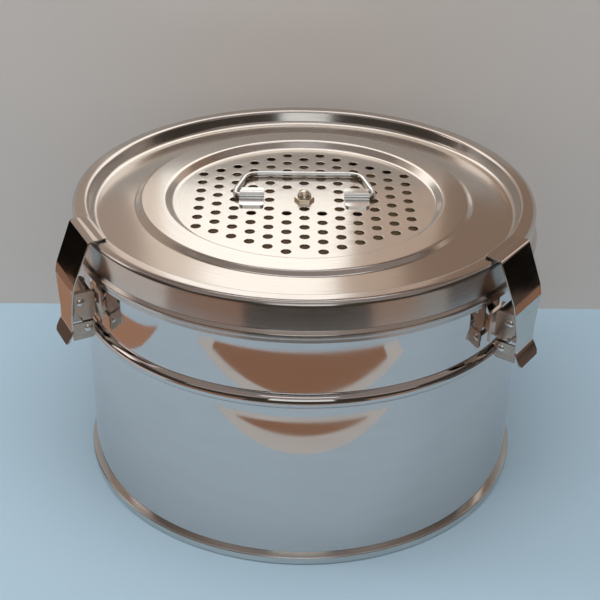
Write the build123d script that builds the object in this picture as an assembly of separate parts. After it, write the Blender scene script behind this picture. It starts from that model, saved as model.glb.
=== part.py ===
from build123d import *
from math import atan2, tan
import os

# Round stainless sterilization drum with a perforated lid, a folding wire handle and
# two hook clamps. Millimetres, +Z up, origin under the centre of the drum on the floor.

os.makedirs("parts", exist_ok=True)

# Fits
RUNNING_FIT = 0.05
FREE_GAP = 0.3

# Drum
SHEET = 0.8
BODY_RADIUS = 130.0
BODY_HEIGHT = 163.0
CURL_RADIUS = 1.7
SEAM_WIDTH = 3.0
SEAM_HEIGHT = 5.0
FLOOR_HEIGHT = 4.2
BEAD_DEPTH = 3.5
BEAD_CREST = 4.2
BEAD_SLOPE = 2.0
BEAD_BELOW_RIM = 55.0

# Lid
LAND_ABOVE_RIM = 6.5
SKIRT_CLEARANCE = 1.6
SKIRT_HEIGHT = 23.2
LAND_WIDTH = 8.9
PANEL_BELOW_RIM = 2.1
PANEL_RISE = 2.9
PLATEAU_ABOVE_RIM = 3.4
PLATEAU_RADIUS = 94.9
PLATEAU_SLOPE = 3.3
RECESS_RADIUS = 80.9
DISC_RADIUS = 77.0
DISC_BELOW_RIM = 0.8
DISC_MARGIN = 1.4
LID_BEAD_DEPTH = 1.8
LID_BEAD_CREST = 2.4
HEM_DEPTH = 1.1
HEM_HEIGHT = 2.0
GASKET_HEIGHT = 5.3

# Perforation
COLUMN_STEP = 10.2
ROW_STEP = 12.0
HOLE_RADIUS = 2.8
PATTERN_RADIUS = 71.5
PLAIN_COLUMNS = (0, 1, 3)

# Filter set under the lid
STUD_RADIUS = 2.5
FILTER_DEPTH = 6.0
FILTER_THICKNESS = 1.0
HOLDER_MARGIN = 2.0
FILTER_MARGIN = 1.5
SPACER_RADIUS = 4.5
NUT_WIDTH = 10.2
NUT_HEIGHT = 2.0
DOME_RADIUS = 4.2
WING_NUT_HEIGHT = 5.0
WING_SPAN = 12.0
WING_THICKNESS = 2.0

# Handle
WIRE_RADIUS = 1.6
HANDLE_SPAN = 80.8
HANDLE_SHOULDER = 7.0
GRIP_SPAN = 68.4
HANDLE_REACH = 31.0
HANDLE_LINE = 2.0
GRIP_BEND = 9.0
SHOULDER_BEND = 12.0
HINGE_BEND = 2.2
CLIP_SHEET = 1.2
CLIP_WIDTH = 14.2
CLIP_LENGTH = 25.0
CLIP_PLAY = 0.3
WIRE_END_INSET = 1.4

# Clamps
CLAMP_AZIMUTHS = {"left": 206.5, "right": 324.7}
CLAMP_SHEET = 1.0
PIN_RADIUS = 1.5
HEAD_RADIUS = 2.4
HEAD_HEIGHT = 1.0
BRACKET_WIDTH = 16.0
BRACKET_HEIGHT = 18.0
EAR_RADIUS = 4.4
LINK_PIVOT_OUT = 11.5
LINK_PIVOT_DOWN = 31.2
LEVER_PIVOT_OUT = 8.2
LEVER_PIVOT_DOWN = 47.0
EAR_ROOT_LOW = 9.8
EAR_ROOT_HIGH = 3.8
LINK_BACK = 8.1
LINK_FRONT = 3.5
LINK_TOP = 7.2
LINK_SHOULDER = 7.8
LINK_CORNER = 2.1
LINK_WEB_DEPTH = 9.0
LINK_TAIL = 3.1
LINK_TAIL_CORNER = 0.7
HOOK_GAP = 0.7
HOOK_REACH = 4.0
HOOK_WIDTH = 32.2
HOOK_NOSE_WIDTH = 29.3
HOOK_CORNER_OUT = 6.6
PLATE_FOOT_OUT = 16.6
PLATE_FOOT_DOWN = 16.2
PLATE_TAPER = 0.8
PLATE_BEND = 6.0
SHANK_HEAD_OUT = 17.6
SHANK_HEAD_DOWN = 21.5
SHANK_WIDTH = 20.4
SHANK_OUT = 18.0
SHANK_DROP = 1.0
WAIST_UP = 8.0
TAB_WIDTH = 22.0
TAB_OUT = 21.8
TAB_DROP = 8.6
TAB_CORNER = 2.0
FLANGE_BACK = 3.6
FLANGE_TOP = 4.0
FLANGE_FOOT = 6.6
FLANGE_CORNER = 1.4

# Heights and radii that follow from the sizes above
LAND_TOP = BODY_HEIGHT + LAND_ABOVE_RIM
RIM_RADIUS = BODY_RADIUS - SHEET + 2 * CURL_RADIUS
SKIRT_RADIUS = RIM_RADIUS + SKIRT_CLEARANCE
SKIRT_FOOT = LAND_TOP - SKIRT_HEIGHT
LAND_INNER = SKIRT_RADIUS - LAND_WIDTH
PANEL_FOOT = BODY_HEIGHT - PANEL_BELOW_RIM
PLATEAU_TOP = BODY_HEIGHT + PLATEAU_ABOVE_RIM
DISC_TOP = BODY_HEIGHT - DISC_BELOW_RIM
DISC_UNDER = DISC_TOP - SHEET
FILTER_TOP = DISC_UNDER - FILTER_DEPTH
HOLDER_TOP = FILTER_TOP - FILTER_THICKNESS
HOLDER_UNDER = HOLDER_TOP - SHEET
HOLDER_RADIUS = DISC_RADIUS - HOLDER_MARGIN
HINGE_HEIGHT = DISC_TOP + WIRE_RADIUS + FREE_GAP
CLIP_PLACE = HANDLE_SPAN / 2 - HINGE_BEND - CLIP_PLAY - CLIP_WIDTH / 2


def bent_line(points, bends, thickness=0.0, aside=0.0):
    """Lines and arcs through points, moved aside to the right inside a bent thickness."""
    corners = [Vector(*point) for point in points]
    edges = []
    first_step = (corners[1] - corners[0]).normalized()
    last_step = (corners[-1] - corners[-2]).normalized()
    here = corners[0] + Vector(first_step.Y, -first_step.X) * aside
    for before, corner, after, bend in zip(corners, corners[1:], corners[2:], bends):
        arrive = (corner - before).normalized()
        leave = (after - corner).normalized()
        turn = atan2(arrive.X * leave.Y - arrive.Y * leave.X, arrive.dot(leave))
        side = 1 if turn > 0 else -1
        drawn = bend if turn > 0 else bend + thickness
        radius = drawn + side * aside
        start_normal = Vector(-arrive.Y, arrive.X) * side
        end_normal = Vector(-leave.Y, leave.X) * side
        centre = corner - arrive * (drawn * tan(abs(turn) / 2)) + start_normal * drawn
        start = centre - start_normal * radius
        end = centre - end_normal * radius
        middle = centre - (start_normal + end_normal).normalized() * radius
        if (start - here).length > 1e-6:
            edges.append(Edge.make_line(here, start))
        edges.append(Edge.make_three_point_arc(start, middle, end))
        here = end
    finish = corners[-1] + Vector(last_step.Y, -last_step.X) * aside
    if (finish - here).length > 1e-6:
        edges.append(Edge.make_line(here, finish))
    return edges


def sheet_face(points, bends, thickness):
    """Section of a bent sheet that lies to the right of the line through points."""
    near = bent_line(points, bends, thickness)
    far = bent_line(points, bends, thickness, thickness)
    ends = [
        Edge.make_line(near[0] @ 0, far[0] @ 0),
        Edge.make_line(near[-1] @ 1, far[-1] @ 1),
    ]
    return Plane.XZ * make_face(near + far + ends)


def turned_sheet(points, bends, thickness=SHEET):
    """Sheet spun about the drum's axis from a radius and height section."""
    return revolve(sheet_face(points, bends, thickness), Axis.Z)


def ring(outer, inner, low, high):
    """Plain ring or washer about the drum's axis."""
    body = Pos(0, 0, (low + high) / 2) * Cylinder(outer, high - low)
    return body - Pos(0, 0, (low + high) / 2) * Cylinder(inner, high - low)


def plate(points, inner, outer):
    """Pair of flat cheeks with one radius and height outline, either side of a clamp."""
    face = Plane.XZ * make_face(Polyline(*points, close=True))
    cheek = Pos(0, -inner, 0) * extrude(face, outer - inner)
    return cheek + mirror(cheek, Plane.XZ)


def cross_pin(out, up, length, radius):
    """Round pin across a clamp, centred at a radius and a height."""
    return Pos(out, 0, up) * Rot(90, 0, 0) * Cylinder(radius, length)


def rivet(out, up, grip):
    """Round rivet across a clamp, with a domed head outside each end of its grip."""
    shank = cross_pin(out, up, grip, PIN_RADIUS)
    dome_radius = (HEAD_RADIUS**2 + HEAD_HEIGHT**2) / (2 * HEAD_HEIGHT)
    dome = Pos(0, 0, HEAD_HEIGHT - dome_radius) * Sphere(dome_radius)
    head = dome & Pos(0, 0, HEAD_HEIGHT / 2) * Cylinder(HEAD_RADIUS, HEAD_HEIGHT)
    for turn, end in ((90, -grip / 2), (-90, grip / 2)):
        shank += Pos(out, end, up) * Rot(turn, 0, 0) * head
    return shank


def punch_sites():
    """Centres of the steam holes, in columns that are half a step out from each other."""
    sites = []
    reach = int(PATTERN_RADIUS / COLUMN_STEP)
    for column in range(-reach, reach + 1):
        offset = (column % 2) * ROW_STEP / 2
        for row in range(-reach - 1, reach + 2):
            site = Vector(column * COLUMN_STEP, row * ROW_STEP + offset)
            plain = abs(column) in PLAIN_COLUMNS and abs(site.Y) < ROW_STEP * 0.6
            if site.length < PATTERN_RADIUS and not plain:
                sites.append(site)
    return sites


def perforated(sheet, height):
    """Sheet with the steam holes punched through it at a height."""
    tool = Cylinder(HOLE_RADIUS, 4 * SHEET)
    return sheet - [Pos(site.X, site.Y, height) * tool for site in punch_sites()]


# Drum wall: one rolled sheet, hooked outwards at the foot, swaged into a stiffening
# bead below the lid and curled outwards at the mouth.
bead_middle = BODY_HEIGHT - BEAD_BELOW_RIM
bore = BODY_RADIUS - SHEET
bead_foot = BEAD_CREST / 2 + BEAD_SLOPE
body_shell = turned_sheet(
    [
        (BODY_RADIUS + SEAM_WIDTH - SHEET - 0.2, SEAM_HEIGHT - SHEET - 0.1),
        (BODY_RADIUS + SEAM_WIDTH - SHEET - 0.2, SHEET),
        (bore, SHEET),
        (bore, bead_middle - bead_foot),
        (bore + BEAD_DEPTH, bead_middle - BEAD_CREST / 2),
        (bore + BEAD_DEPTH, bead_middle + BEAD_CREST / 2),
        (bore, bead_middle + bead_foot),
        (bore, BODY_HEIGHT),
        (RIM_RADIUS, BODY_HEIGHT),
        (RIM_RADIUS, BODY_HEIGHT - 2 * CURL_RADIUS),
        (RIM_RADIUS - CURL_RADIUS - 0.4, BODY_HEIGHT - 2 * CURL_RADIUS),
    ],
    [0.3, 0.3, 1.0, 1.0, 1.0, 1.0] + [CURL_RADIUS - SHEET - 0.1] * 3,
)
export_step(body_shell, "parts/body_shell.step")

# Drum floor: a pressed pan whose rim is rolled round the foot of the wall.
body_bottom = turned_sheet(
    [
        (0, FLOOR_HEIGHT),
        (bore, FLOOR_HEIGHT),
        (bore, SHEET),
        (BODY_RADIUS + SEAM_WIDTH - SHEET, SHEET),
        (BODY_RADIUS + SEAM_WIDTH - SHEET, SEAM_HEIGHT - SHEET),
        (BODY_RADIUS, SEAM_HEIGHT - SHEET),
    ],
    [0.4, 0.3, 0.3, 0.3],
)
export_step(body_bottom, "parts/body_bottom.step")

# Lid: a deep drawn cover with a sunken perforated disc, a raised ring round it, a
# channel that holds the gasket over the rim, and a skirt with a rolled bead and hem.
bead_low = SKIRT_FOOT + HEM_HEIGHT
lid_blank = turned_sheet(
    [
        (0, DISC_TOP),
        (DISC_RADIUS, DISC_TOP),
        (RECESS_RADIUS, PLATEAU_TOP),
        (PLATEAU_RADIUS, PLATEAU_TOP),
        (PLATEAU_RADIUS + PLATEAU_SLOPE, PANEL_FOOT + PANEL_RISE),
        (LAND_INNER - 2.7, PANEL_FOOT),
        (LAND_INNER, LAND_TOP),
        (SKIRT_RADIUS, LAND_TOP),
        (SKIRT_RADIUS, bead_low + LID_BEAD_CREST + 2 * LID_BEAD_DEPTH * 0.6),
        (SKIRT_RADIUS + LID_BEAD_DEPTH, bead_low + LID_BEAD_CREST + 0.4),
        (SKIRT_RADIUS + LID_BEAD_DEPTH, bead_low + 0.5),
        (SKIRT_RADIUS + HEM_DEPTH, bead_low - 0.1),
        (SKIRT_RADIUS + HEM_DEPTH, SKIRT_FOOT),
    ],
    [2.0, 1.4, 1.2, 1.2, 2.2, 1.0, 2.7, 0.5, 0.4, 0.3, 0.3],
)
disc_zone = Pos(0, 0, DISC_TOP) * Cylinder(DISC_RADIUS - DISC_MARGIN, 4 * SHEET)
lid_shell = lid_blank - disc_zone
export_step(lid_shell, "parts/lid_shell.step")

# The flat middle of the same sheet, punched with the steam holes and the stud's hole,
# is a solid of its own that meets the rest of the lid all round.
stud_hole = Pos(0, 0, DISC_TOP) * Cylinder(STUD_RADIUS, 4 * SHEET)
lid_disc = perforated(lid_blank & disc_zone, DISC_TOP - SHEET / 2) - stud_hole
export_step(lid_disc, "parts/lid_disc.step")

# Gasket: a moulded silicone ring seated in the lid's channel, just over the rim.
gasket_low = BODY_HEIGHT + FREE_GAP
gasket_inner = LAND_INNER + SHEET + 0.2
gasket_outer = SKIRT_RADIUS - SHEET
gasket_face = Plane.XZ * make_face(
    Polyline(
        (gasket_inner - 1.0, gasket_low),
        (gasket_outer, gasket_low),
        (gasket_outer, gasket_low + GASKET_HEIGHT - 2.7),
        (gasket_outer - 2.7, gasket_low + GASKET_HEIGHT),
        (gasket_inner + 1.5, gasket_low + GASKET_HEIGHT),
        (gasket_inner, gasket_low + GASKET_HEIGHT - 2.5),
        close=True,
    )
)
lid_gasket = revolve(gasket_face, Axis.Z)
export_step(lid_gasket, "parts/lid_gasket.step")

# Filter set under the disc: spacer, round filter and a perforated holder dish, all
# pulled up by a wing nut on the lid's centre stud, which ends in a cap nut outside.
lid_spacer = ring(SPACER_RADIUS, STUD_RADIUS, FILTER_TOP, DISC_UNDER)
export_step(lid_spacer, "parts/lid_spacer.step")

lid_filter = ring(HOLDER_RADIUS - FILTER_MARGIN, STUD_RADIUS, HOLDER_TOP, FILTER_TOP)
export_step(lid_filter, "parts/lid_filter.step")

holder_blank = turned_sheet(
    [(0, HOLDER_TOP), (HOLDER_RADIUS, HOLDER_TOP), (HOLDER_RADIUS, DISC_UNDER)], [1.0]
)
holder_bore = Pos(0, 0, HOLDER_TOP) * Cylinder(STUD_RADIUS, 4 * SHEET)
lid_filter_holder = perforated(holder_blank, HOLDER_TOP - SHEET / 2) - holder_bore
export_step(lid_filter_holder, "parts/lid_filter_holder.step")

stud_top = DISC_TOP + NUT_HEIGHT + 1.0
stud_foot = HOLDER_UNDER - WING_NUT_HEIGHT - 3.0
lid_stud = Pos(0, 0, (stud_top + stud_foot) / 2) * Cylinder(
    STUD_RADIUS, stud_top - stud_foot
)
lid_stud = chamfer(lid_stud.edges().group_by(Axis.Z)[0], 0.5)
export_step(lid_stud, "parts/lid_stud.step")

nut_prism = RegularPolygon(NUT_WIDTH / 2, 6, major_radius=False)
nut_hex = extrude(Pos(0, 0, DISC_TOP) * nut_prism, NUT_HEIGHT)
nut_round = ring(NUT_WIDTH / 3**0.5, STUD_RADIUS, DISC_TOP, DISC_TOP + NUT_HEIGHT)
nut_round = chamfer(nut_round.edges().group_by(Axis.Z)[-1].sort_by(SortBy.RADIUS)[-1], 0.8)
nut_ball = Pos(0, 0, DISC_TOP + NUT_HEIGHT) * Sphere(DOME_RADIUS)
nut_dome = split(nut_ball, Plane.XY.offset(DISC_TOP + NUT_HEIGHT), keep=Keep.TOP)
nut_bore = Pos(0, 0, DISC_TOP) * Cylinder(STUD_RADIUS, 2 * (stud_top - DISC_TOP))
lid_cap_nut = (nut_hex & nut_round) + nut_dome - nut_bore
export_step(lid_cap_nut, "parts/lid_cap_nut.step")

wing_foot = HOLDER_UNDER - WING_NUT_HEIGHT
wing_face = make_face(
    Polyline(
        (STUD_RADIUS + 1.0, HOLDER_UNDER - 1.2),
        (WING_SPAN, wing_foot + 1.5),
        (WING_SPAN, wing_foot - 3.0),
        (WING_SPAN - 4.0, wing_foot - 3.0),
        (STUD_RADIUS + 1.0, wing_foot + 0.8),
        close=True,
    )
)
wing_face = fillet(wing_face.vertices().sort_by(Axis.X)[-3:], 1.4)
wing = extrude(Plane.XZ * wing_face, WING_THICKNESS / 2, both=True)
hub = ring(SPACER_RADIUS, STUD_RADIUS + RUNNING_FIT, wing_foot, HOLDER_UNDER)
lid_wing_nut = hub + wing + mirror(wing, Plane.YZ)
export_step(lid_wing_nut, "parts/lid_wing_nut.step")

# Handle: one bent wire, folded back on the disc, its ends turned in under two saddle
# clips that are spot welded to the disc.
half_span = HANDLE_SPAN / 2
wire_end = CLIP_PLACE - CLIP_WIDTH / 2 + WIRE_END_INSET
wire_path = Wire(
    bent_line(
        [
            (-wire_end, 0),
            (-half_span, 0),
            (-half_span, HANDLE_SHOULDER),
            (-GRIP_SPAN / 2, HANDLE_REACH),
            (GRIP_SPAN / 2, HANDLE_REACH),
            (half_span, HANDLE_SHOULDER),
            (half_span, 0),
            (wire_end, 0),
        ],
        [HINGE_BEND, SHOULDER_BEND, GRIP_BEND, GRIP_BEND, SHOULDER_BEND, HINGE_BEND],
    )
)
wire_start = Plane(origin=(-wire_end, 0, 0), z_dir=(-1, 0, 0))
handle_place = Pos(0, HANDLE_LINE, HINGE_HEIGHT)
handle_bail = handle_place * sweep(wire_start * Circle(WIRE_RADIUS), path=wire_path)
export_step(handle_bail, "parts/handle_bail.step")

arch = WIRE_RADIUS + RUNNING_FIT + CLIP_SHEET
crown = WIRE_RADIUS + FREE_GAP + arch
clip_face = sheet_face(
    [
        (-CLIP_LENGTH / 2, CLIP_SHEET),
        (-arch, CLIP_SHEET),
        (-arch, crown),
        (arch, crown),
        (arch, CLIP_SHEET),
        (CLIP_LENGTH / 2, CLIP_SHEET),
    ],
    [0.7, WIRE_RADIUS + RUNNING_FIT, WIRE_RADIUS + RUNNING_FIT, 0.7],
    CLIP_SHEET,
)
clip = Rot(0, 0, 90) * extrude(clip_face, CLIP_WIDTH / 2, both=True)
clip = fillet(clip.edges().filter_by(Axis.Z).group_by(Axis.Y)[0], 2.2)
clip = fillet(clip.edges().filter_by(Axis.Z).group_by(Axis.Y)[-1], 2.2)
for side, name in ((-1, "left"), (1, "right")):
    placed = Pos(side * CLIP_PLACE, HANDLE_LINE, DISC_TOP) * clip
    export_step(placed, f"parts/handle_clip_{name}.step")

# Clamps, drawn on the +X side as radius and height and then turned to their places.
link_out = BODY_RADIUS + LINK_PIVOT_OUT
link_up = BODY_HEIGHT - LINK_PIVOT_DOWN
lever_out = BODY_RADIUS + LEVER_PIVOT_OUT
lever_up = BODY_HEIGHT - LEVER_PIVOT_DOWN
ear_outer = BRACKET_WIDTH / 2
ear_inner = ear_outer - CLAMP_SHEET
cheek_inner = ear_outer + 0.1
cheek_outer = cheek_inner + CLAMP_SHEET
flange_inner = cheek_outer + 0.1
flange_outer = flange_inner + CLAMP_SHEET

# Bracket: a channel spot welded to the wall, its two ears carrying the link's rivet.
bracket_band = ring(
    BODY_RADIUS + CLAMP_SHEET,
    BODY_RADIUS,
    link_up + EAR_RADIUS / 2 - BRACKET_HEIGHT,
    link_up + EAR_RADIUS / 2,
)
bracket_window = Pos(BODY_RADIUS, 0, link_up) * Box(
    2 * BRACKET_WIDTH, BRACKET_WIDTH, 4 * BRACKET_HEIGHT
)
ear_root = BODY_RADIUS + CLAMP_SHEET * 0.4
ear_face = make_hull(
    [
        *(Pos(link_out, link_up) * Circle(EAR_RADIUS)).edges(),
        Edge.make_line(
            (ear_root, link_up - EAR_ROOT_LOW), (ear_root, link_up - EAR_ROOT_HIGH)
        ),
    ]
)
ear = Pos(0, -ear_inner, 0) * extrude(Plane.XZ * ear_face, CLAMP_SHEET)
bracket = (bracket_band & bracket_window) + ear + mirror(ear, Plane.XZ)
bracket -= cross_pin(link_out, link_up, BRACKET_WIDTH, PIN_RADIUS)

# Link: two cheeks joined by a web across the top, swinging on the bracket's rivet.
tail_front = lever_out + LINK_TAIL
tail_back = lever_out - LINK_TAIL
link = plate(
    [
        (link_out - LINK_BACK, link_up - LINK_SHOULDER),
        (link_out - LINK_BACK, link_up + LINK_TOP - LINK_CORNER),
        (link_out - LINK_BACK + LINK_CORNER, link_up + LINK_TOP),
        (link_out + LINK_FRONT, link_up + LINK_TOP),
        (link_out + LINK_FRONT + LINK_TAIL_CORNER, link_up - 2 * LINK_TAIL),
        (tail_front, lever_up + 2 * LINK_TAIL),
        (tail_front, lever_up - LINK_TAIL + LINK_TAIL_CORNER),
        (tail_front - LINK_TAIL_CORNER, lever_up - LINK_TAIL),
        (tail_back + 2 * LINK_TAIL_CORNER, lever_up - LINK_TAIL),
        (tail_back, lever_up - LINK_TAIL + 2 * LINK_TAIL_CORNER),
        (tail_back, lever_up + 2 * LINK_TAIL),
    ],
    cheek_inner,
    cheek_outer,
)
web_out = link_out + LINK_FRONT - LINK_WEB_DEPTH / 2
link += Pos(web_out, 0, link_up + LINK_TOP - CLAMP_SHEET / 2) * Box(
    LINK_WEB_DEPTH, 2 * cheek_outer, CLAMP_SHEET
)
across = 4 * flange_outer
link -= cross_pin(link_out, link_up, across, PIN_RADIUS + RUNNING_FIT)
link -= cross_pin(lever_out, lever_up, across, PIN_RADIUS)

# Lever: one formed strip, hook over the lid, slanted plate, straight shank with side
# flanges for the lower rivet, and a thumb tab bent out at the bottom.
hook_top = LAND_TOP + HOOK_GAP + CLAMP_SHEET
lever_face = sheet_face(
    [
        (BODY_RADIUS - HOOK_REACH, hook_top),
        (BODY_RADIUS + HOOK_CORNER_OUT, hook_top),
        (BODY_RADIUS + PLATE_FOOT_OUT, BODY_HEIGHT - PLATE_FOOT_DOWN),
        (BODY_RADIUS + SHANK_HEAD_OUT, BODY_HEIGHT - SHANK_HEAD_DOWN),
        (BODY_RADIUS + SHANK_OUT, lever_up - SHANK_DROP),
        (BODY_RADIUS + TAB_OUT, lever_up - TAB_DROP),
    ],
    [CLAMP_SHEET * 0.8, PLATE_BEND, CLAMP_SHEET, CLAMP_SHEET * 2.5],
    CLAMP_SHEET,
)
strip = extrude(lever_face, HOOK_WIDTH, both=True)
half_hook = HOOK_WIDTH / 2
half_shank = SHANK_WIDTH / 2
half_tab = TAB_WIDTH / 2
front = [
    (half_hook, 2 * LAND_TOP),
    (half_hook, LAND_TOP),
    (half_hook - PLATE_TAPER, BODY_HEIGHT - SHANK_HEAD_DOWN),
    (half_shank + PLATE_TAPER, lever_up + WAIST_UP + 3 * PLATE_TAPER),
    (half_shank, lever_up + WAIST_UP),
    (half_shank, lever_up),
    (half_tab, lever_up - TAB_DROP / 3),
    (half_tab, lever_up - TAB_DROP + TAB_CORNER),
    (half_tab - TAB_CORNER, lever_up - TAB_DROP - TAB_CORNER / 2),
]
mirrored = [(-side, height) for side, height in reversed(front)]
front_outline = Plane.YZ * make_face(Polyline(*front, *mirrored, close=True))
front_mask = extrude(front_outline, 2 * BODY_RADIUS)
top_edge = [
    (BODY_RADIUS - HOOK_REACH, HOOK_NOSE_WIDTH / 2),
    (BODY_RADIUS + HOOK_CORNER_OUT, half_hook),
    (BODY_RADIUS + HOOK_WIDTH, half_hook),
]
mirrored = [(out, -side) for out, side in reversed(top_edge)]
top_mask = extrude(make_face(Polyline(*top_edge, *mirrored, close=True)), 2 * LAND_TOP)
lever = (strip & front_mask) & top_mask
flange_front = BODY_RADIUS + SHANK_OUT - CLAMP_SHEET * 0.6
lever += plate(
    [
        (lever_out - FLANGE_BACK, lever_up - FLANGE_FOOT + FLANGE_CORNER),
        (lever_out - FLANGE_BACK, lever_up + FLANGE_TOP),
        (flange_front, lever_up + FLANGE_TOP),
        (flange_front, lever_up - FLANGE_FOOT),
        (lever_out - FLANGE_BACK + FLANGE_CORNER, lever_up - FLANGE_FOOT),
    ],
    flange_inner,
    flange_outer,
)
lever -= cross_pin(lever_out, lever_up, across, PIN_RADIUS + RUNNING_FIT)

upper_rivet = rivet(link_out, link_up, 2 * (cheek_outer + RUNNING_FIT))
lower_rivet = rivet(lever_out, lever_up, 2 * (flange_outer + RUNNING_FIT))

upper_rivets = Part()
for name, azimuth in CLAMP_AZIMUTHS.items():
    place = Rot(0, 0, azimuth)
    export_step(place * bracket, f"parts/clamp_{name}_bracket.step")
    export_step(place * link, f"parts/clamp_{name}_link.step")
    export_step(place * lever, f"parts/clamp_{name}_lever.step")
    export_step(place * lower_rivet, f"parts/clamp_{name}_lower_rivet.step")
    upper_rivets += place * upper_rivet
export_step(upper_rivets, "parts/clamp_upper_rivets.step")
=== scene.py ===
from math import atan2, copysign, cos, hypot, pi, radians, sin, tan

import bmesh
import bpy
from mathutils import Matrix, Vector


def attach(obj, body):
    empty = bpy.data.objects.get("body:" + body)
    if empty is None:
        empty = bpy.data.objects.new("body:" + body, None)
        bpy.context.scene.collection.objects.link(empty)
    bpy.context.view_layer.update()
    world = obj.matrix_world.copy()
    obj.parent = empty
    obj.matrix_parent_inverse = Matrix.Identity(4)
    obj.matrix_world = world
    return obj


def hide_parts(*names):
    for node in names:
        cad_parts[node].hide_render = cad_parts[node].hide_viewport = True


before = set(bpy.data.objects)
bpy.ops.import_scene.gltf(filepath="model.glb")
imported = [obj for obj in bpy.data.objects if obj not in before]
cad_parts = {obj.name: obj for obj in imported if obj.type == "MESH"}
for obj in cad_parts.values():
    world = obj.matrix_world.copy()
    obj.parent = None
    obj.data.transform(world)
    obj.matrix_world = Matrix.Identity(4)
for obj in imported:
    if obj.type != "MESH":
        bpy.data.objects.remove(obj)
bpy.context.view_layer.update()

# Floor pan. The drum stands on a pan pressed from 0.8 mm stainless sheet, whose rim
# is rolled round the foot of the wall. The sizes are millimetres, as on a drawing,
# and settle() brings each finished piece to metres.
MILLIMETRE = 0.001
UP = Vector((0, 0, 1))
SECTION = Vector((0, -1, 0))
SHEET = 0.8
TURNED_STEPS = 192


def only_verts(geom):
    """The vertices in what a mesh operator drew."""
    return [part for part in geom if isinstance(part, bmesh.types.BMVert)]


def stretch(bm, geom, move):
    """Draws geom out along a straight run."""
    if move.length < 1e-6:
        return geom
    drawn = bmesh.ops.extrude_face_region(bm, geom=geom)["geom"]
    bmesh.ops.translate(bm, verts=only_verts(drawn), vec=move)
    return drawn


def follow(bm, geom, points, bends, axis, thickness=0.0, aside=0.0):
    """Draws geom along a bent line, aside to the right of it inside a bent sheet."""
    here = points[0] + (points[1] - points[0]).normalized().cross(axis) * aside
    for before, corner, after, bend in zip(points, points[1:], points[2:], bends):
        arrive = (corner - before).normalized()
        leave = (after - corner).normalized()
        turn = atan2(arrive.cross(leave).dot(axis), arrive.dot(leave))
        side = copysign(1.0, turn)
        drawn = bend if turn > 0 else bend + thickness
        inward = axis.cross(arrive) * side
        centre = corner - arrive * drawn * tan(abs(turn) / 2) + inward * drawn
        start = centre - inward * (drawn + side * aside)
        geom = stretch(bm, geom, start - here)
        geom = bmesh.ops.spin(
            bm, geom=geom, cent=centre, axis=axis, angle=turn,
            steps=max(2, round(abs(turn) / radians(13))),
        )["geom_last"]
        here = centre + Matrix.Rotation(turn, 3, axis) @ (start - centre)
    finish = points[-1] + (points[-1] - points[-2]).normalized().cross(axis) * aside
    return stretch(bm, geom, finish - here)


def sheet_section(bm, outline, bends, open_start=False):
    """Cut edge of a bent sheet that lies to the right of a radius and height line."""
    points = [Vector((out, 0, up)) for out, up in outline]
    ends = []
    for aside in (0.0, SHEET):
        side = (points[1] - points[0]).normalized().cross(SECTION) * aside
        start = bm.verts.new(points[0] + side)
        last = follow(bm, [start], points, bends, SECTION, SHEET, aside)
        ends.append((start, only_verts(last)[0]))
    (near_start, near_end), (far_start, far_end) = ends
    if not open_start:
        bm.edges.new((near_start, far_start))
    bm.edges.new((near_end, far_end))


def turn_round(bm, steps=TURNED_STEPS):
    """Spins everything drawn so far once round the drum's axis and closes it."""
    bmesh.ops.spin(
        bm, geom=bm.verts[:] + bm.edges[:], cent=(0, 0, 0), axis=UP, angle=2 * pi,
        steps=steps, use_merge=True,
    )
    bmesh.ops.remove_doubles(bm, verts=bm.verts, dist=1e-4)
    bmesh.ops.recalc_face_normals(bm, faces=bm.faces)


def settle(bm, name, materials, body, nodes, sharp=35):
    """Makes the mesh a piece of the drum that rides with its body."""
    bmesh.ops.scale(bm, verts=bm.verts, vec=(MILLIMETRE,) * 3)
    mesh = bpy.data.meshes.new(name)
    bm.to_mesh(mesh)
    bm.free()
    for material in materials:
        mesh.materials.append(material)
    mesh.shade_smooth()
    mesh.set_sharp_from_angle(angle=radians(sharp))
    piece = bpy.data.objects.new(name, mesh)
    bpy.context.collection.objects.link(piece)
    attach(piece, body)
    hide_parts(*nodes)
    return piece


def even_shading(piece):
    """Keeps broad flats flat where they run into a bend."""
    piece.modifiers.new("Even shading", "WEIGHTED_NORMAL").keep_sharp = True


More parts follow.
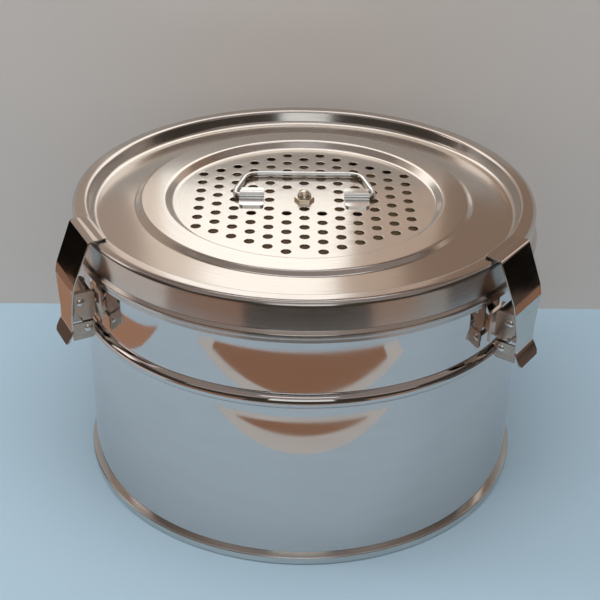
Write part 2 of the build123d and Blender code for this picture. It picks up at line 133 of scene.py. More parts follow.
def grain_group(name, turned):
    """Rolled and polished sheet: fine lines, round the axis on a turned piece, and
    broad cloudy patches from handling, as colour, roughness and height."""
    group = bpy.data.node_groups.new(name, "ShaderNodeTree")
    socket = group.interface.new_socket
    for label, kind, value in (
        ("Colour", "NodeSocketColor", (0.7, 0.7, 0.7, 1.0)),
        ("Worn Colour", "NodeSocketColor", (0.6, 0.6, 0.6, 1.0)),
        ("Roughness", "NodeSocketFloat", 0.2),
        ("Roughness Spread", "NodeSocketFloat", 0.1),
        ("Line Density", "NodeSocketFloat", 2500.0),
        ("Cloud Density", "NodeSocketFloat", 14.0),
    ):
        socket(label, in_out="INPUT", socket_type=kind).default_value = value
    socket("Colour", in_out="OUTPUT", socket_type="NodeSocketColor")
    socket("Roughness", in_out="OUTPUT", socket_type="NodeSocketFloat")
    socket("Lines", in_out="OUTPUT", socket_type="NodeSocketFloat")
    socket("Clouds", in_out="OUTPUT", socket_type="NodeSocketFloat")
    new, link = group.nodes.new, group.links.new
    given, result = new("NodeGroupInput"), new("NodeGroupOutput")
    place = new("ShaderNodeTexCoord")
    place_out = place.outputs["Object"]
    split = new("ShaderNodeSeparateXYZ")
    link(place_out, split.inputs[0])
    along = new("ShaderNodeCombineXYZ")
    if turned:
        flat = new("ShaderNodeCombineXYZ")
        link(split.outputs["X"], flat.inputs["X"])
        link(split.outputs["Y"], flat.inputs["Y"])
        radius = new("ShaderNodeVectorMath")
        radius.operation = "LENGTH"
        link(flat.outputs[0], radius.inputs[0])
        across = new("ShaderNodeMath")
        across.operation = "ADD"
        link(radius.outputs["Value"], across.inputs[0])
        link(split.outputs["Z"], across.inputs[1])
        bearing = new("ShaderNodeVectorMath")
        bearing.operation = "NORMALIZE"
        link(flat.outputs[0], bearing.inputs[0])
        turn = new("ShaderNodeSeparateXYZ")
        link(bearing.outputs["Vector"], turn.inputs[0])
        low = turn.outputs["X"], turn.outputs["Y"]
        high = across.outputs[0]
    else:
        low = split.outputs["X"], split.outputs["Y"]
        high = split.outputs["Z"]
    for number, output in enumerate(low):
        shrink = new("ShaderNodeMath")
        shrink.operation = "MULTIPLY"
        shrink.inputs[1].default_value = 3.0 if turned else 60.0
        link(output, shrink.inputs[0])
        link(shrink.outputs[0], along.inputs[number])
    dense = new("ShaderNodeMath")
    dense.operation = "MULTIPLY"
    link(high, dense.inputs[0])
    link(given.outputs["Line Density"], dense.inputs[1])
    link(dense.outputs[0], along.inputs["Z"])
    lines = new("ShaderNodeTexNoise")
    lines.inputs["Scale"].default_value = 1.0
    lines.inputs["Detail"].default_value = 3.0
    link(along.outputs[0], lines.inputs["Vector"])
    clouds = new("ShaderNodeTexNoise")
    clouds.inputs["Detail"].default_value = 4.0
    link(place_out, clouds.inputs["Vector"])
    link(given.outputs["Cloud Density"], clouds.inputs["Scale"])
    both = new("ShaderNodeMath")
    both.operation = "MULTIPLY_ADD"
    link(lines.outputs[0], both.inputs[0])
    both.inputs[1].default_value = 0.5
    half = new("ShaderNodeMath")
    half.operation = "MULTIPLY"
    half.inputs[1].default_value = 0.5
    link(clouds.outputs[0], half.inputs[0])
    link(half.outputs[0], both.inputs[2])
    span = new("ShaderNodeMapRange")
    span.inputs["From Min"].default_value = 0.35
    span.inputs["From Max"].default_value = 0.65
    link(both.outputs[0], span.inputs["Value"])
    tint = new("ShaderNodeMix")
    tint.data_type = "RGBA"
    link(span.outputs["Result"], tint.inputs["Factor"])
    link(given.outputs["Colour"], tint.inputs["A"])
    link(given.outputs["Worn Colour"], tint.inputs["B"])
    rough = new("ShaderNodeMath")
    rough.operation = "MULTIPLY_ADD"
    link(span.outputs["Result"], rough.inputs[0])
    link(given.outputs["Roughness Spread"], rough.inputs[1])
    link(given.outputs["Roughness"], rough.inputs[2])
    link(tint.outputs["Result"], result.inputs["Colour"])
    link(rough.outputs[0], result.inputs["Roughness"])
    link(lines.outputs[0], result.inputs["Lines"])
    link(clouds.outputs[0], result.inputs["Clouds"])
    return group


turned_grain = grain_group("Turned sheet grain", True)
flat_grain = grain_group("Flat sheet grain", False)


def metal(name, grain, colour, worn, roughness, spread, relief, lines=2500.0, clouds=14.0,
          relief_from="Lines"):
    """Bare metal with a grain in its colour, its shine and its surface."""
    material = bpy.data.materials.new(name)
    material.use_nodes = True
    nodes, link = material.node_tree.nodes, material.node_tree.links.new
    shader = nodes["Principled BSDF"]
    shader.inputs["Metallic"].default_value = 1.0
    finish = nodes.new("ShaderNodeGroup")
    finish.node_tree = grain
    finish.inputs["Colour"].default_value = (*colour, 1.0)
    finish.inputs["Worn Colour"].default_value = (*worn, 1.0)
    finish.inputs["Roughness"].default_value = roughness
    finish.inputs["Roughness Spread"].default_value = spread
    finish.inputs["Line Density"].default_value = lines
    finish.inputs["Cloud Density"].default_value = clouds
    link(finish.outputs["Colour"], shader.inputs["Base Color"])
    link(finish.outputs["Roughness"], shader.inputs["Roughness"])
    bump = nodes.new("ShaderNodeBump")
    bump.inputs["Distance"].default_value = relief
    link(finish.outputs[relief_from], bump.inputs["Height"])
    link(bump.outputs["Normal"], shader.inputs["Normal"])
    return material


pan_steel = metal(
    "Pressed pan steel", turned_grain, (0.70, 0.69, 0.67), (0.62, 0.61, 0.59), 0.16, 0.08,
    0.000006,
)
bm = bmesh.new()
sheet_section(
    bm,
    [(0, 4.2), (129.2, 4.2), (129.2, 0.8), (132.2, 0.8), (132.2, 4.2), (130.0, 4.2)],
    [0.4, 0.3, 0.3, 0.3],
)
turn_round(bm)
pan = settle(bm, "floor_pan", [pan_steel], "drum", ["body_bottom"])
even_shading(pan)

# Drum wall. One strip of mirror polished stainless sheet, rolled and welded up the
# back, swaged out into a stiffening bead below the lid and curled outwards at the top.
wall_steel = metal(
    "Mirror polished steel", turned_grain, (0.675, 0.625, 0.605), (0.645, 0.595, 0.575), 0.03,
    0.05, 0.00002, lines=120.0, clouds=9.0, relief_from="Clouds",
)
bm = bmesh.new()
sheet_section(
    bm,
    [
        (132.0, 4.1), (132.0, 0.8), (129.2, 0.8), (129.2, 103.9), (132.7, 105.9),
        (132.7, 110.1), (129.2, 112.1), (129.2, 163.0), (132.6, 163.0), (132.6, 159.6),
        (130.5, 159.6),
    ],
    [0.3, 0.3, 0.8, 3.2, 3.2, 0.8, 0.8, 0.8, 0.8],
)
turn_round(bm)
wall = settle(bm, "drum_wall", [wall_steel], "drum", ["body_shell"])
even_shading(wall)

# Clamp brackets. Short channels bent from polished steel strip and spot welded to the
# wall, whose two ears carry the upper rivet.
strip_steel = metal(
    "Polished steel strip", flat_grain, (0.62, 0.58, 0.55), (0.57, 0.53, 0.50), 0.05, 0.06,
    0.000002, lines=900.0, clouds=60.0,
)


def finish_solid(name, material):
    """Gives one of the frame's own solids its material."""
    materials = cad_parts[name].data.materials
    materials.clear()
    materials.append(material)


for name in ("clamp_left_bracket", "clamp_right_bracket"):
    finish_solid(name, strip_steel)

# Lid. A deep drawn cover of satin stainless sheet: sunken disc with punched steam
# holes, raised ring round it, channel over the drum's rim, and a skirt with a rolled
# bead and hem, buffed brighter than the top.
lid_steel = metal(
    "Satin lid steel", turned_grain, (0.68, 0.63, 0.58), (0.64, 0.59, 0.54), 0.16, 0.07,
    0.000002, lines=1600.0, clouds=22.0,
)
rim_steel = metal(
    "Satin rim steel", turned_grain, (0.66, 0.61, 0.57), (0.60, 0.55, 0.51), 0.14, 0.08,
    0.000002, lines=1600.0, clouds=22.0,
)
DISC_EDGE = 75.6
DISC_TOP = 162.2
STUD_RADIUS = 2.5
HOLE_RADIUS = 2.8
STUD_SIDES = 24
HOLE_SIDES = 20
COLUMN_STEP = 10.2
ROW_STEP = 12.0
PATTERN_RADIUS = 71.5
PUNCH_DRAW = 0.35
RIM_START = 123.5


def punched_disc(bm, edge, top):
    """Flat round sheet punched with the steam holes, their upper edges drawn in a
    little by the punch, and with the stud's hole."""
    places = [
        (column * COLUMN_STEP, row * ROW_STEP + (column % 2) * ROW_STEP / 2)
        for column in range(-7, 8)
        for row in range(-7, 8)
    ]
    holes = [
        (x, y) for x, y in places
        if hypot(x, y) < PATTERN_RADIUS
        and not (abs(round(x / COLUMN_STEP)) in (0, 1, 3) and abs(y) < ROW_STEP * 0.6)
    ]
    for opening, depth in ((HOLE_RADIUS + PUNCH_DRAW, 0.0), (HOLE_RADIUS, SHEET)):
        flat = bmesh.new()
        bmesh.ops.create_circle(flat, radius=edge, segments=TURNED_STEPS)
        bmesh.ops.create_circle(flat, radius=STUD_RADIUS, segments=STUD_SIDES)
        for x, y in holes:
            bmesh.ops.create_circle(
                flat, radius=opening, segments=HOLE_SIDES,
                matrix=Matrix.Translation((x, y, 0)),
            )
        bmesh.ops.triangle_fill(flat, edges=flat.edges, normal=UP, use_beauty=True)
        bmesh.ops.translate(flat, verts=flat.verts, vec=(0, 0, top - depth))
        mesh = bpy.data.meshes.new("Punched face")
        flat.to_mesh(mesh)
        flat.free()
        bm.from_mesh(mesh)
        bpy.data.meshes.remove(mesh)
    steps = [(PUNCH_DRAW, 0.0), (0.12, 0.1), (0.0, 0.32), (0.0, SHEET)]
    bore = [(HOLE_RADIUS + wide, deep) for wide, deep in steps]
    bores = [(x, y, HOLE_SIDES, bore) for x, y in holes]
    bores.append((0.0, 0.0, STUD_SIDES, [(STUD_RADIUS, 0.0), (STUD_RADIUS, SHEET)]))
    for x, y, segments, bore in bores:
        loops = [
            bmesh.ops.create_circle(
                bm, radius=radius, segments=segments,
                matrix=Matrix.Translation((x, y, top - deep)),
            )["verts"]
            for radius, deep in bore
        ]
        for upper, lower in zip(loops, loops[1:]):
            for k in range(segments):
                n = (k + 1) % segments
                bm.faces.new((upper[k], upper[n], lower[n], lower[k]))
    bmesh.ops.remove_doubles(bm, verts=bm.verts, dist=1e-3)
    bmesh.ops.recalc_face_normals(bm, faces=bm.faces)


bm = bmesh.new()
sheet_section(
    bm,
    [
        (DISC_EDGE, DISC_TOP), (77.0, DISC_TOP), (80.9, 166.4), (94.9, 166.4), (98.2, 163.8),
        (122.6, 160.9), (125.3, 169.5), (134.2, 169.5), (134.2, 152.86), (136.0, 151.1),
        (136.0, 148.8), (135.3, 148.2), (135.3, 146.3),
    ],
    [2.6, 2.0, 1.8, 3.0, 3.2, 1.8, 2.7, 0.5, 0.4, 0.3, 0.3],
    open_start=True,
)
turn_round(bm)
for face in bm.faces:
    centre = face.calc_center_median()
    face.material_index = 1 if hypot(centre.x, centre.y) > RIM_START else 0
punched_disc(bm, DISC_EDGE, DISC_TOP)
lid = settle(bm, "lid", [lid_steel, rim_steel], "lid", ["lid_shell", "lid_disc"])
even_shading(lid)

# Gasket. A moulded ring of white silicone, pushed into the lid's channel, that the
# drum's rim seals against.
def plain(name, colour, roughness, specular=0.5):
    """Material of one colour and one shine."""
    material = bpy.data.materials.new(name)
    material.use_nodes = True
    shader = material.node_tree.nodes["Principled BSDF"]
    shader.inputs["Base Color"].default_value = (*colour, 1.0)
    shader.inputs["Roughness"].default_value = roughness
    shader.inputs["Specular IOR Level"].default_value = specular
    return material


gasket_rubber = plain("White silicone", (0.72, 0.72, 0.69), 0.45)
bm = bmesh.new()
lips = [
    bm.verts.new((out, 0, up))
    for out, up in (
        (125.3, 163.3), (133.4, 163.3), (133.4, 165.9), (130.7, 168.6), (127.8, 168.6),
        (126.3, 166.1),
    )
]
bm.faces.new(lips)
bmesh.ops.bevel(
    bm, geom=lips, offset=0.4, offset_type="OFFSET", segments=3, profile=0.5,
    affect="VERTICES", material=-1,
)
bmesh.ops.delete(bm, geom=bm.faces[:], context="FACES_ONLY")
turn_round(bm)
gasket = settle(bm, "gasket", [gasket_rubber], "lid", ["lid_gasket"])
even_shading(gasket)

# Filter set. A round of tan filter cloth in a punched dish of thin steel, with a
# spacer sleeve above it. It shows as tan patches of light through the holes.
filter_cloth = plain("Tan filter cloth", (0.20, 0.13, 0.07), 0.9)
finish_solid("lid_filter", filter_cloth)
DISH_EDGE = 73.0
DISH_TOP = 154.4
dish_steel = metal(
    "Filter dish steel", turned_grain, (0.66, 0.63, 0.60), (0.58, 0.55, 0.52), 0.24, 0.08,
    0.000008,
)
bm = bmesh.new()
sheet_section(
    bm, [(DISH_EDGE, DISH_TOP), (75.0, DISH_TOP), (75.0, 161.4)], [1.0], open_start=True,
)
turn_round(bm)
punched_disc(bm, DISH_EDGE, DISH_TOP)
dish = settle(
    bm, "filter_dish", [dish_steel], "lid", ["lid_filter_holder"],
)
even_shading(dish)

# Stud and nuts. A threaded stud through the middle of the lid ends in a domed cap nut
# of warm yellow plating above, and in a wing nut that holds the filter set below.
nut_plating = metal(
    "Warm nut plating", flat_grain, (0.86, 0.76, 0.62), (0.68, 0.58, 0.45), 0.16, 0.08,
    0.000006, lines=900.0, clouds=120.0,
)
finish_solid("lid_stud", dish_steel)
finish_solid("lid_spacer", dish_steel)
finish_solid("lid_wing_nut", nut_plating)
NUT_WIDTH = 10.2
NUT_TOP = DISC_TOP + 2.0
DOME_RADIUS = 4.2
bm = bmesh.new()
bmesh.ops.create_circle(
    bm, radius=NUT_WIDTH / 3**0.5, segments=6, cap_ends=True,
    matrix=Matrix.Translation((0, 0, DISC_TOP)) @ Matrix.Rotation(pi / 6, 4, "Z"),
)
top = bmesh.ops.extrude_face_region(bm, geom=bm.faces[:])["geom"]
bmesh.ops.translate(bm, verts=only_verts(top), vec=(0, 0, NUT_TOP - DISC_TOP))
rim = [edge for edge in bm.edges if all(v.co.z > NUT_TOP - 0.1 for v in edge.verts)]
bmesh.ops.bevel(
    bm, geom=rim, offset=0.7, offset_type="OFFSET", segments=3, profile=0.5,
    affect="EDGES", material=-1,
)
dome = bmesh.ops.create_uvsphere(
    bm, u_segments=32, v_segments=16, radius=DOME_RADIUS,
    matrix=Matrix.Translation((0, 0, NUT_TOP)),
)["verts"]
around = {edge for v in dome for edge in v.link_edges}
plates = {face for v in dome for face in v.link_faces}
bmesh.ops.bisect_plane(
    bm, geom=[*dome, *around, *plates], plane_co=(0, 0, NUT_TOP), plane_no=UP,
    clear_inner=True,
)
bmesh.ops.recalc_face_normals(bm, faces=bm.faces)
cap_nut = settle(bm, "cap_nut", [nut_plating], "lid", ["lid_cap_nut"])
even_shading(cap_nut)

# Saddle clips. Two strips of bright zinc plated sheet, arched over the handle's ends
# and spot welded to the disc.
clip_zinc = metal(
    "Bright zinc sheet", flat_grain, (0.80, 0.79, 0.77), (0.70, 0.69, 0.67), 0.10, 0.10,
    0.000006, lines=700.0, clouds=90.0,
)


def formed_sheet(piece, thickness, edge_width):
    """Gives a formed strip its thickness and slightly rounded cut edges."""
    sheet = piece.modifiers.new("Sheet", "SOLIDIFY")
    sheet.thickness = thickness * MILLIMETRE
    sheet.offset = -1.0
    sheet.use_even_offset = True
    rounding = piece.modifiers.new("Rounded edge", "BEVEL")
    rounding.width = edge_width * MILLIMETRE
    rounding.segments = 2
    rounding.limit_method = "ANGLE"
    rounding.angle_limit = radians(50)
    even_shading(piece)


CLIP_PLACES = {"left": -30.8, "right": 30.8}
CLIP_WIDTH = 14.2
CLIP_SHEET = 1.2
CLIP_HALF_LENGTH = 12.5
ARCH_HALF_WIDTH = 2.85
ARCH_TOP = 4.75
HANDLE_LINE = 2.0
for side, place in CLIP_PLACES.items():
    bm = bmesh.new()
    profile = [
        Vector((0, along + HANDLE_LINE, up + DISC_TOP))
        for along, up in (
            (-CLIP_HALF_LENGTH, CLIP_SHEET), (-ARCH_HALF_WIDTH, CLIP_SHEET),
            (-ARCH_HALF_WIDTH, ARCH_TOP), (ARCH_HALF_WIDTH, ARCH_TOP),
            (ARCH_HALF_WIDTH, CLIP_SHEET), (CLIP_HALF_LENGTH, CLIP_SHEET),
        )
    ]
    start = bm.verts.new(profile[0])
    follow(bm, [start], profile, [0.7, 1.65, 1.65, 0.7], Vector((1, 0, 0)), CLIP_SHEET)
    bmesh.ops.translate(bm, verts=bm.verts, vec=(place - CLIP_WIDTH / 2, 0, 0))
    stretch(bm, bm.verts[:] + bm.edges[:], Vector((CLIP_WIDTH, 0, 0)))
    feet = [v for v in bm.verts if len(v.link_edges) == 2]
    bmesh.ops.bevel(
        bm, geom=feet, offset=2.2, offset_type="OFFSET", segments=5, profile=0.5,
        affect="VERTICES", material=-1,
    )
    bmesh.ops.recalc_face_normals(bm, faces=bm.faces)
    if sum(face.normal.z for face in bm.faces) < 0:
        bmesh.ops.reverse_faces(bm, faces=bm.faces)
    clip = settle(
        bm, f"saddle_clip_{side}", [clip_zinc], "lid", [f"handle_clip_{side}"],
    )
    formed_sheet(clip, CLIP_SHEET, 0.25)

# Handle. One piece of zinc plated wire, bent to a bail, its ends sprung in under the
# clips, folded back flat on the disc.
wire_zinc = metal(
    "Bright zinc wire", flat_grain, (0.80, 0.79, 0.77), (0.68, 0.67, 0.65), 0.09, 0.10,
    0.000005, lines=300.0, clouds=90.0,
)
WIRE_RADIUS = 1.6
WIRE_HEIGHT = DISC_TOP + WIRE_RADIUS + 0.3
WIRE_END = 25.1
HALF_SPAN = 40.4
HALF_GRIP = 34.2
SHOULDER = 7.0
REACH = 31.0
bm = bmesh.new()
ring = bmesh.ops.create_circle(
    bm, radius=WIRE_RADIUS, segments=20,
    matrix=Matrix.Translation((-WIRE_END, HANDLE_LINE, WIRE_HEIGHT))
    @ Matrix.Rotation(pi / 2, 4, "Y"),
)["verts"]
bend_line = [
    Vector((x, y + HANDLE_LINE, WIRE_HEIGHT))
    for x, y in (
        (-WIRE_END, 0), (-HALF_SPAN, 0), (-HALF_SPAN, SHOULDER), (-HALF_GRIP, REACH),
        (HALF_GRIP, REACH), (HALF_SPAN, SHOULDER), (HALF_SPAN, 0), (WIRE_END, 0),
    )
]
far_ring = follow(
    bm, bm.verts[:] + bm.edges[:], bend_line, [2.2, 12.0, 9.0, 9.0, 12.0, 2.2], UP,
)
for loop in ([v for v in ring if v.is_valid], only_verts(far_ring)):
    end = bmesh.ops.contextual_create(bm, geom=loop)["faces"]
    bmesh.ops.inset_region(bm, faces=end, thickness=0.4, depth=0.25)
bmesh.ops.recalc_face_normals(bm, faces=bm.faces)
handle = settle(bm, "handle", [wire_zinc], "handle", ["handle_bail"], 50)
even_shading(handle)

# Clamp links. Channels bent from steel strip, two cheeks and a web across the top,
# that swing on the bracket's rivet and carry the lever's rivet.
CLAMP_AZIMUTHS = {"left": 206.5, "right": 324.7}
CLAMP_SHEET = 1.0
CLAMP_EDGE = 0.2
LINK_HALF_WIDTH = 9.1
LINK_TOP = 139.0
link_steel = metal(
    "Link strip steel", flat_grain, (0.52, 0.42, 0.35), (0.44, 0.35, 0.29), 0.14, 0.10,
    0.000008, lines=900.0, clouds=80.0,
)


def swing_round(bm, azimuth):
    """Turns a clamp's part from the drawing plane to its place on the drum."""
    turn = Matrix.Rotation(radians(azimuth), 3, "Z")
    bmesh.ops.rotate(bm, verts=bm.verts, cent=(0, 0, 0), matrix=turn)


for side, azimuth in CLAMP_AZIMUTHS.items():
    bm = bmesh.new()
    cheek = bm.faces.new([
        bm.verts.new((out, -LINK_HALF_WIDTH, up))
        for out, up in (
            (133.4, 124.0), (133.4, 136.9), (135.5, LINK_TOP), (145.0, LINK_TOP),
            (145.7, 125.6), (141.3, 122.2), (141.3, 113.6), (140.6, 112.9),
            (136.5, 112.9), (135.1, 114.3), (135.1, 122.2),
        )
    ])
    cheek.normal_update()
    if cheek.normal.y > 0:
        cheek.normal_flip()
    top = [edge for edge in cheek.edges if all(v.co.z > LINK_TOP - 0.1 for v in edge.verts)]
    web = bmesh.ops.extrude_edge_only(bm, edges=top)["geom"]
    bmesh.ops.translate(bm, verts=only_verts(web), vec=(0, LINK_HALF_WIDTH, 0))
    bmesh.ops.mirror(
        bm, geom=bm.verts[:] + bm.edges[:] + bm.faces[:], axis="Y", merge_dist=1e-3,
    )
    bmesh.ops.recalc_face_normals(bm, faces=bm.faces)
    folds = [
        edge for edge in bm.edges
        if len(edge.link_faces) == 2 and edge.calc_face_angle() > 1.0
    ]
    bmesh.ops.bevel(
        bm, geom=folds, offset=1.3, offset_type="OFFSET", segments=5, profile=0.5,
        affect="EDGES", material=-1,
    )
    bmesh.ops.dissolve_degenerate(bm, dist=1e-4, edges=bm.edges)
    if sum(face.normal.y * face.calc_center_median().y for face in bm.faces) < 0:
        bmesh.ops.reverse_faces(bm, faces=bm.faces)
    swing_round(bm, azimuth)
    link_piece = settle(
        bm, f"clamp_link_{side}", [link_steel], f"link_{side}",
        [f"clamp_{side}_link"],
    )
    formed_sheet(link_piece, CLAMP_SHEET, CLAMP_EDGE)

# Clamp levers. One polished strip each, bent to a hook over the lid, a slanted plate,
# a straight shank with two side flanges on the lower rivet, and a thumb tab.
HOOK_NOSE = 126.0
HOOK_CORNER = 136.6
HOOK_FOOT = 169.5
HOOK_LINE = [
    (HOOK_NOSE, 170.7), (128.0, 171.15), (130.8, 170.75), (133.4, 171.2),
    (HOOK_CORNER, 171.2), (146.6, 146.8), (147.6, 141.5), (148.0, 115.0), (151.8, 107.4),
]
NOSE_HALF_WIDTH = 14.65
HOOK_HALF_WIDTH = 16.1
SHANK_HALF_WIDTH = 10.2
HALF_WIDTHS = [
    (106.4, 9.0), (107.4, 9.0), (109.4, 11.0), (113.1, 11.0), (116.0, SHANK_HALF_WIDTH),
    (124.0, SHANK_HALF_WIDTH), (126.4, 11.0), (141.5, 15.3), (HOOK_FOOT, HOOK_HALF_WIDTH),
]
FLANGE = [(134.6, 110.8), (134.6, 120.0), (147.4, 120.0), (147.4, 109.4), (136.0, 109.4)]


def half_width(out, up):
    """Half the strip's width at a radius and height."""
    if up > HOOK_FOOT:
        along = min(1.0, max(0.0, (out - HOOK_NOSE) / (HOOK_CORNER - HOOK_NOSE)))
        return NOSE_HALF_WIDTH + (HOOK_HALF_WIDTH - NOSE_HALF_WIDTH) * along
    for (low, narrow), (high, wide) in zip(HALF_WIDTHS, HALF_WIDTHS[1:]):
        if up <= high:
            return narrow + (wide - narrow) * max(0.0, up - low) / (high - low)


for side, azimuth in CLAMP_AZIMUTHS.items():
    bm = bmesh.new()
    line = [Vector((out, 0, up)) for out, up in HOOK_LINE]
    start = bm.verts.new(line[0])
    follow(bm, [start], line, [4.0, 4.0, 4.0, 1.5, 6.0, 1.0, 2.5], SECTION, CLAMP_SHEET)
    bmesh.ops.translate(bm, verts=bm.verts, vec=(0, -1, 0))
    stretch(bm, bm.verts[:] + bm.edges[:], Vector((0, 2, 0)))
    for height in (109.4, 113.1, 116.0, 124.0, 126.4, HOOK_FOOT):
        bmesh.ops.bisect_plane(
            bm, geom=bm.verts[:] + bm.edges[:] + bm.faces[:], plane_co=(0, 0, height),
            plane_no=UP,
        )
    for v in bm.verts:
        v.co.y *= half_width(v.co.x, v.co.z)
    bmesh.ops.recalc_face_normals(bm, faces=bm.faces)
    if sum(face.normal.x * face.calc_area() for face in bm.faces) < 0:
        bmesh.ops.reverse_faces(bm, faces=bm.faces)
    for sign in (-1, 1):
        flange = bm.faces.new([
            bm.verts.new((out, sign * SHANK_HALF_WIDTH, up)) for out, up in FLANGE
        ])
        flange.normal_update()
        if flange.normal.y * sign < 0:
            flange.normal_flip()
        flange.material_index = 1
        tip = [v for v in flange.verts if v.co.x < 135 or v.co.z < 109.5 and v.co.x < 140]
        bmesh.ops.bevel(
            bm, geom=tip, offset=0.8, offset_type="OFFSET", segments=4, profile=0.5,
            affect="VERTICES", material=-1,
        )
    swing_round(bm, azimuth)
    lever = settle(
        bm, f"clamp_lever_{side}", [strip_steel, link_steel], f"lever_{side}",
        [f"clamp_{side}_lever"], 40,
    )
    formed_sheet(lever, CLAMP_SHEET, CLAMP_EDGE)

# Clamp rivets. Turned steel pins with domed heads, closed over the cheeks and the
# flanges; the upper ones hold the links, the lower ones the levers.
rivet_steel = metal(
    "Rivet steel", flat_grain, (0.86, 0.84, 0.81), (0.74, 0.72, 0.69), 0.20, 0.10,
    0.000005, lines=900.0, clouds=150.0,
)
HEAD_RADIUS = 2.4
HEAD_HEIGHT = 1.0
PIN_RADIUS = 1.5
LOWER_RIVET = (138.2, 116.0, 10.25)
UPPER_RIVET = (141.5, 131.8, 9.15)


def rivet(out, up, grip, azimuth):
    """Mesh of one rivet across a clamp, with a head outside each end of its grip."""
    bm = bmesh.new()
    ball = (HEAD_RADIUS**2 + HEAD_HEIGHT**2) / (2 * HEAD_HEIGHT)
    apex = bm.verts.new((0, 0, grip + HEAD_HEIGHT))
    centre = (0, 0, grip + HEAD_HEIGHT - ball)
    lean = atan2(HEAD_RADIUS, ball - HEAD_HEIGHT)
    edge = bmesh.ops.spin(
        bm, geom=[apex], cent=centre, axis=SECTION, angle=-lean, steps=6,
    )["geom_last"]
    edge = stretch(bm, edge, Vector((PIN_RADIUS - HEAD_RADIUS, 0, 0)))
    stretch(bm, edge, Vector((0, 0, -grip)))
    turn_round(bm, 28)
    bmesh.ops.mirror(
        bm, geom=bm.verts[:] + bm.edges[:] + bm.faces[:], axis="Z", merge_dist=1e-3,
    )
    bmesh.ops.recalc_face_normals(bm, faces=bm.faces)
    bmesh.ops.rotate(
        bm, verts=bm.verts, cent=(0, 0, 0), matrix=Matrix.Rotation(pi / 2, 3, "X"),
    )
    bmesh.ops.translate(bm, verts=bm.verts, vec=(out, 0, up))
    swing_round(bm, azimuth)
    return bm


upper = bmesh.new()
for side, azimuth in CLAMP_AZIMUTHS.items():
    settle(
        rivet(*LOWER_RIVET, azimuth), f"lower_rivet_{side}", [rivet_steel],
        f"link_{side}", [f"clamp_{side}_lower_rivet"],
    )
    one = rivet(*UPPER_RIVET, azimuth)
    mesh = bpy.data.meshes.new("Upper rivet")
    one.to_mesh(mesh)
    one.free()
    upper.from_mesh(mesh)
    bpy.data.meshes.remove(mesh)
settle(upper, "upper_rivets", [rivet_steel], "drum", ["clamp_upper_rivets"])

# Stage. A plain pale blue floor and a plain warm grey wall close behind, lit softly
# from above. Cards outside the picture, which only the metal sees, stand for the
# bright window, the table beyond the floor sheet and the dim room.
def stage_sheet(name, corners, material):
    """Flat rectangle of the studio, which is no part of the drum."""
    bm = bmesh.new()
    bm.faces.new([bm.verts.new(corner) for corner in corners])
    mesh = bpy.data.meshes.new(name)
    bm.to_mesh(mesh)
    bm.free()
    mesh.materials.append(material)
    sheet = bpy.data.objects.new(name, mesh)
    bpy.context.collection.objects.link(sheet)
    return sheet


WALL_PLACE = 0.158
floor_paint = plain("Pale blue floor", (0.455, 0.62, 0.755), 0.8, 0.2)
wall_paint = plain("Warm grey wall", (0.71, 0.65, 0.61), 0.8, 0.2)
stage_sheet(
    "Floor", [(-3, -3, 0), (3, -3, 0), (3, 3, 0), (-3, 3, 0)], floor_paint,
)
stage_sheet(
    "Wall",
    [(-3, WALL_PLACE, 0), (3, WALL_PLACE, 0), (3, WALL_PLACE, 2), (-3, WALL_PLACE, 2)],
    wall_paint,
)
nodes, link = wall_paint.node_tree.nodes, wall_paint.node_tree.links.new
facing = nodes.new("ShaderNodeNewGeometry")
clear = nodes.new("ShaderNodeMath")
clear.operation = "SUBTRACT"
clear.inputs[0].default_value = 1.0
link(facing.outputs["Backfacing"], clear.inputs[1])
link(clear.outputs[0], nodes["Principled BSDF"].inputs["Alpha"])


CARD_PLACE = 0.148
NEAR_CARDS = 0.147
SKIRTING_TOP = 0.078
SILL = 0.22
WINDOW_TOP = 0.62
CEILING = 1.39
ROOM_FRONT = -1.2
ROOM_BACK = 0.15
TABLE_HEIGHT = 0.0005
MARGIN_HEIGHT = 0.0004
FLOOR_HEIGHT = 0.0003


def card(name, corners, colour):
    """Card of one brightness, seen in the metal alone."""
    material = bpy.data.materials.new(name)
    material.use_nodes = True
    tree = material.node_tree
    tree.nodes.clear()
    glow = tree.nodes.new("ShaderNodeEmission")
    glow.inputs["Color"].default_value = (*colour, 1.0)
    surface = tree.nodes.new("ShaderNodeOutputMaterial")
    tree.links.new(glow.outputs[0], surface.inputs["Surface"])
    sheet = stage_sheet(name, corners, material)
    sheet.visible_camera = False
    sheet.visible_diffuse = False
    sheet.visible_shadow = False


def wall_card(name, left, right, low, high, colour, place=CARD_PLACE):
    """Upright card behind or in front of the drum."""
    corners = [
        (left, place, low), (right, place, low), (right, place, high), (left, place, high),
    ]
    card(name, corners, colour)


def side_card(name, place, near, far, low, high, colour):
    """Upright card beside the drum."""
    corners = [
        (place, near, low), (place, far, low), (place, far, high), (place, near, high),
    ]
    card(name, corners, colour)


def level_card(name, left, right, near, far, height, colour):
    """Level card under the ceiling or on the floor."""
    corners = [
        (left, near, height), (right, near, height), (right, far, height), (left, far, height),
    ]
    card(name, corners, colour)


def round_card(name, start, end, colour):
    """Card on the floor round the drum, between two bearings in degrees."""
    turns = [radians(start + (end - start) * step / 6) for step in range(7)]
    inner = [(0.372 * cos(turn), 0.372 * sin(turn), FLOOR_HEIGHT) for turn in turns]
    outer = [(1.6 * cos(turn), 1.6 * sin(turn), FLOOR_HEIGHT) for turn in reversed(turns)]
    card(name, inner + outer, colour)


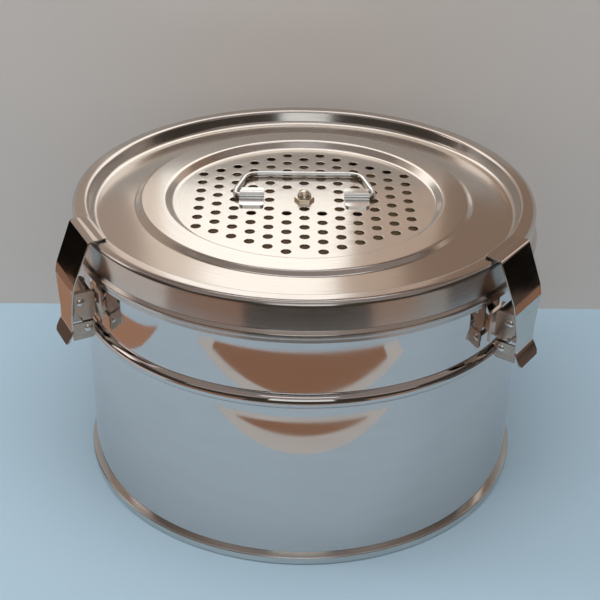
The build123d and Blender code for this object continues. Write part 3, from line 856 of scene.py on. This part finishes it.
def front_card(name, far, start, end, near, bow, colour, height):
    """Card on the floor in front, round outwards and almost straight towards the drum."""
    turns = [radians(start + (end - start) * step / 16) for step in range(17)]
    outer = [(far * cos(turn), far * sin(turn), height) for turn in turns]
    inner = [(x, bow * x**2 - near, height) for x, _, _ in reversed(outer)]
    card(name, outer + inner, colour)


TABLE = (0.29, 0.16, 0.10)
LIT_TABLE = (0.40, 0.23, 0.15)
MARGIN = (0.54, 0.54, 0.52)
BLACK = (0.006, 0.005, 0.004)
SKIRTING = (0.12, 0.085, 0.068)
ROOM = (0.05, 0.042, 0.035)
for name, left, right, colour in (
    ("Window card", -0.10, 0.035, (1.58, 1.56, 1.51)),
    ("Left glow card", -0.14, -0.10, (0.98, 0.86, 0.76)),
    ("Left wall card", -0.80, -0.14, (0.44, 0.36, 0.31)),
    ("Right glow card", 0.035, 0.10, (0.60, 0.48, 0.40)),
    ("Right wall card", 0.10, 0.80, (0.29, 0.21, 0.16)),
):
    wall_card(name, left, right, SILL, WINDOW_TOP, colour)
wall_card("Upper wall card", -0.80, 0.80, WINDOW_TOP, CEILING, (0.12, 0.10, 0.09))
wall_card("Left corner card", -2.0, -0.33, SKIRTING_TOP, SILL, BLACK)
wall_card("Right corner card", 0.62, 2.0, SKIRTING_TOP, SILL, BLACK)
wall_card("Left table side card", -0.47, -0.33, 0.0, SKIRTING_TOP, TABLE)
wall_card("Left skirting card", -2.0, -0.47, 0.0, SKIRTING_TOP, SKIRTING)
wall_card("Right skirting card", 0.62, 2.0, 0.0, SKIRTING_TOP, SKIRTING)
wall_card("Right lamp card", 0.44, 0.60, 0.30, 0.50, (1.1, 1.0, 0.9), NEAR_CARDS)
wall_card("Front room card", -2.0, 2.0, 0.0, 0.9, ROOM, ROOM_FRONT)
wall_card("Front window card", -0.32, 0.30, 0.36, 0.9, (0.95, 1.0, 1.0), -1.19)
wall_card("Front ceiling card", -2.0, 2.0, 0.9, CEILING, (0.38, 0.35, 0.34), ROOM_FRONT)
level_card("Lamp card", -0.5, 0.5, -0.12, 0.2, 1.38, (1.3, 1.3, 1.34))
level_card("Far lamp card", -0.35, 0.3, -0.75, -0.52, 1.38, (1.1, 1.15, 1.2))
side_card("Left lamp card", -1.1, -0.08, 0.14, 0.42, 0.78, (1.5, 1.35, 1.25))
level_card("Ceiling card", -2.0, 2.0, ROOM_FRONT, ROOM_BACK, CEILING, (0.28, 0.24, 0.22))
for side in (-1, 1):
    side_card(f"Side card {side}", side * 1.8, ROOM_FRONT, ROOM_BACK, 0.0, CEILING, ROOM)
front_card("Sheet margin card", 0.352, 227, 309, 0.280, 0.6, MARGIN, MARGIN_HEIGHT)
front_card("Front table card", 0.350, 233.5, 302.5, 0.295, 0.6, TABLE, TABLE_HEIGHT)
front_card("Near sheet margin card", 0.270, 235, 304, 0.230, 0.3, MARGIN, MARGIN_HEIGHT)
front_card("Near table card", 0.264, 244.5, 295.5, 0.249, 0.9, TABLE, TABLE_HEIGHT)
table_edge = [
    (-0.305, -0.15), (-0.283, -0.09), (-0.268, -0.02), (-0.25, 0.06), (-0.235, NEAR_CARDS),
    (-0.35, NEAR_CARDS), (-0.325, 0.05), (-0.318, -0.06),
]
card("Left table card", [(x, y, TABLE_HEIGHT) for x, y in table_edge], LIT_TABLE)
level_card("Right table card", 0.42, 0.70, -0.05, NEAR_CARDS, TABLE_HEIGHT, TABLE)
round_card("Left floor card", 158, 212, (0.60, 0.54, 0.51))
round_card("Left front floor card", 212, 246, (0.28, 0.17, 0.12))
round_card("Front floor card", 246, 297, (0.06, 0.05, 0.04))
round_card("Right front floor card", 297, 317, (0.33, 0.23, 0.18))
round_card("Right floor card", 317, 331, (0.30, 0.28, 0.26))
round_card("Far right floor card", 331, 382, (0.10, 0.085, 0.08))


def soft_light(name, place, aim, width, height, power):
    """Rectangular studio light that faces a point and is not mirrored in the metal."""
    lamp = bpy.data.lights.new(name, "AREA")
    lamp.shape = "RECTANGLE"
    lamp.size, lamp.size_y = width, height
    lamp.energy = power
    lamp.color = (1.0, 0.98, 0.95)
    light = bpy.data.objects.new(name, lamp)
    light.location = place
    light.rotation_mode = "QUATERNION"
    light.rotation_quaternion = (Vector(aim) - Vector(place)).to_track_quat("-Z", "Y")
    bpy.context.collection.objects.link(light)
    light.visible_glossy = False


soft_light("Overhead light", (0.0, -0.2, 1.3), (0, 0, 0.1), 1.2, 1.0, 9.0)
soft_light("Left light", (-1.1, 0.1, 0.8), (0, 0, 0.12), 0.5, 0.9, 5.0)

world = bpy.data.worlds.new("Studio")
bpy.context.scene.world = world
world.use_nodes = True
sky = world.node_tree.nodes["Background"]
sky.inputs["Color"].default_value = (0.80, 0.78, 0.76, 1.0)
sky.inputs["Strength"].default_value = 0.55

lens = bpy.data.cameras.new("Camera")
lens.lens = 76.2139
lens.sensor_width = 36.0
lens.clip_start = 0.01
camera = bpy.data.objects.new("Camera", lens)
camera.location = (-0.00772, -0.67726, 0.47810)
camera.rotation_euler = (radians(60.48685), radians(-0.73333), radians(-0.09746))
bpy.context.collection.objects.link(camera)
bpy.context.scene.camera = camera
bpy.context.scene.view_settings.view_transform = "Standard"
